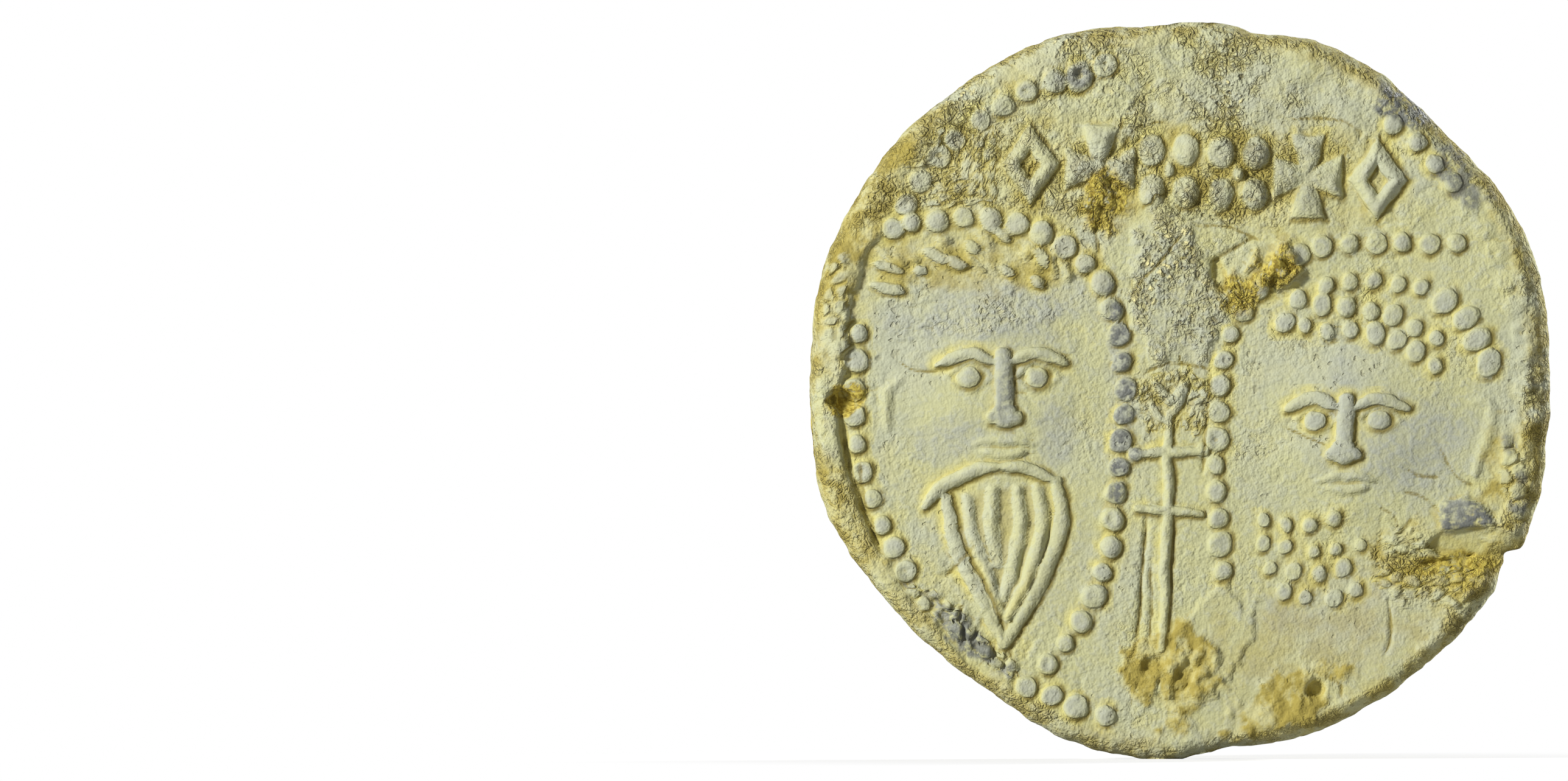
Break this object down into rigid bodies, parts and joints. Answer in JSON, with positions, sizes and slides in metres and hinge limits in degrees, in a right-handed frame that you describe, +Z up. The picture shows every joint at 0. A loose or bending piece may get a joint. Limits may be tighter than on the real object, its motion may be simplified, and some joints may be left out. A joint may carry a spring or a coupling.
{
  "type": "pendant lead seal",
  "caption": "Round struck lead seal of two pressed leaves closed over a cord channel, with two bearded heads in beaded compartments on the front and rows of ornaments under a star on the back.",
  "frame": {"origin": "middle of the seal, on the parting plane of its two leaves and half way along the cord channel", "axes": "+Z up as the seal hangs from its cord, +Y out of the back face, +X to the right seen from the front"},
  "size_m": [0.038, 0.0052, 0.0376],
  "materials": {
    "lead_front": "dull lead under a pale yellow-grey patina with ochre earth in the hollows",
    "lead_back": "dull lead under a pale yellow-grey patina with brown earth along the edge"
  },
  "bodies": {
    "root": {"obverse_leaf": "lead_front", "reverse_leaf": "lead_back"}
  },
  "joints": []
}
